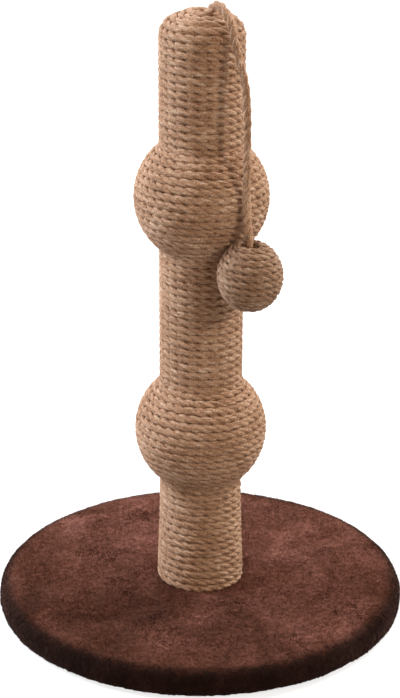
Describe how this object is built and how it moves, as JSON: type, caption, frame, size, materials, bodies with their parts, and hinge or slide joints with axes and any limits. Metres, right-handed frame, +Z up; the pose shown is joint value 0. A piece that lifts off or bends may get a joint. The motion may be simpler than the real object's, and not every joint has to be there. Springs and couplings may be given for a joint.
{
  "type": "cat scratching post",
  "caption": "Free-standing rope-wound scratching post with round bulges on a plush-covered round base, and a rope-wound ball hanging from its top by a cord.",
  "frame": {"origin": "centre of the base's underside, on the floor and on the post's axis", "axes": "+Z up along the post, -Y towards the side where the ball hangs, +X to the right of someone who faces the ball"},
  "size_m": [0.32, 0.32, 0.4851],
  "materials": {
    "fibreboard": "raw fibreboard",
    "plush": "short brushed pile",
    "lining_felt": "thin felted lining",
    "zinc_steel": "zinc plated",
    "tube_cardboard": "spiral-wound board",
    "plug_wood": "raw turned wood",
    "bulge_foam": "expanded foam",
    "jute_rope": "three-strand laid jute",
    "jute_cord": "three-strand laid jute",
    "toy_wood": "raw turned wood"
  },
  "bodies": {
    "post": {"base_board": "fibreboard", "base_plush_cover": "plush", "base_lining": "lining_felt", "hem_staples": "zinc_steel", "lining_staples": "zinc_steel", "base_washer": "zinc_steel", "base_bolt": "zinc_steel", "post_tube": "tube_cardboard", "bottom_plug": "plug_wood", "tee_nut": "zinc_steel", "bottom_plug_nails": "zinc_steel", "top_plug": "plug_wood", "top_plug_nails": "zinc_steel", "upper_bulge_form": "bulge_foam", "lower_bulge_form": "bulge_foam", "rope_bottom_stretch": "jute_rope", "rope_lower_bulge": "jute_rope", "rope_middle_stretch": "jute_rope", "rope_upper_bulge": "jute_rope", "rope_upper_stretch": "jute_rope", "rope_top_spiral": "jute_rope", "cord_top_knot": "jute_cord", "cord_anchor": "jute_cord"},
    "cord_over_shoulder": {"cord_saddle": "jute_cord"},
    "cord_beside_post": {"cord_upper": "jute_cord"},
    "cord_to_toy": {"cord_lower": "jute_cord", "toy_knot": "jute_cord"},
    "toy_ball": {"toy_core": "toy_wood", "toy_winding": "jute_rope"}
  },
  "joints": [
    {"name": "cord_orbit", "type": "hinge", "parent": "post", "child": "cord_over_shoulder", "pos_m": [0, 0, 0.452], "axis": [0, 0, 1], "range_deg": [-180, 180]},
    {"name": "cord_swing_out", "type": "hinge", "parent": "cord_over_shoulder", "child": "cord_beside_post", "pos_m": [0, -0.0375, 0.4665], "axis": [-1, 0, 0], "range_deg": [0, 75]},
    {"name": "toy_side_swing", "type": "hinge", "parent": "cord_beside_post", "child": "cord_to_toy", "pos_m": [0, -0.0549, 0.3366], "axis": [0, 1, 0], "range_deg": [-60, 60]},
    {"name": "toy_spin", "type": "hinge", "parent": "cord_to_toy", "child": "toy_ball", "pos_m": [0, -0.06072, 0.2906], "axis": [0, 0, 1], "continuous": true}
  ]
}
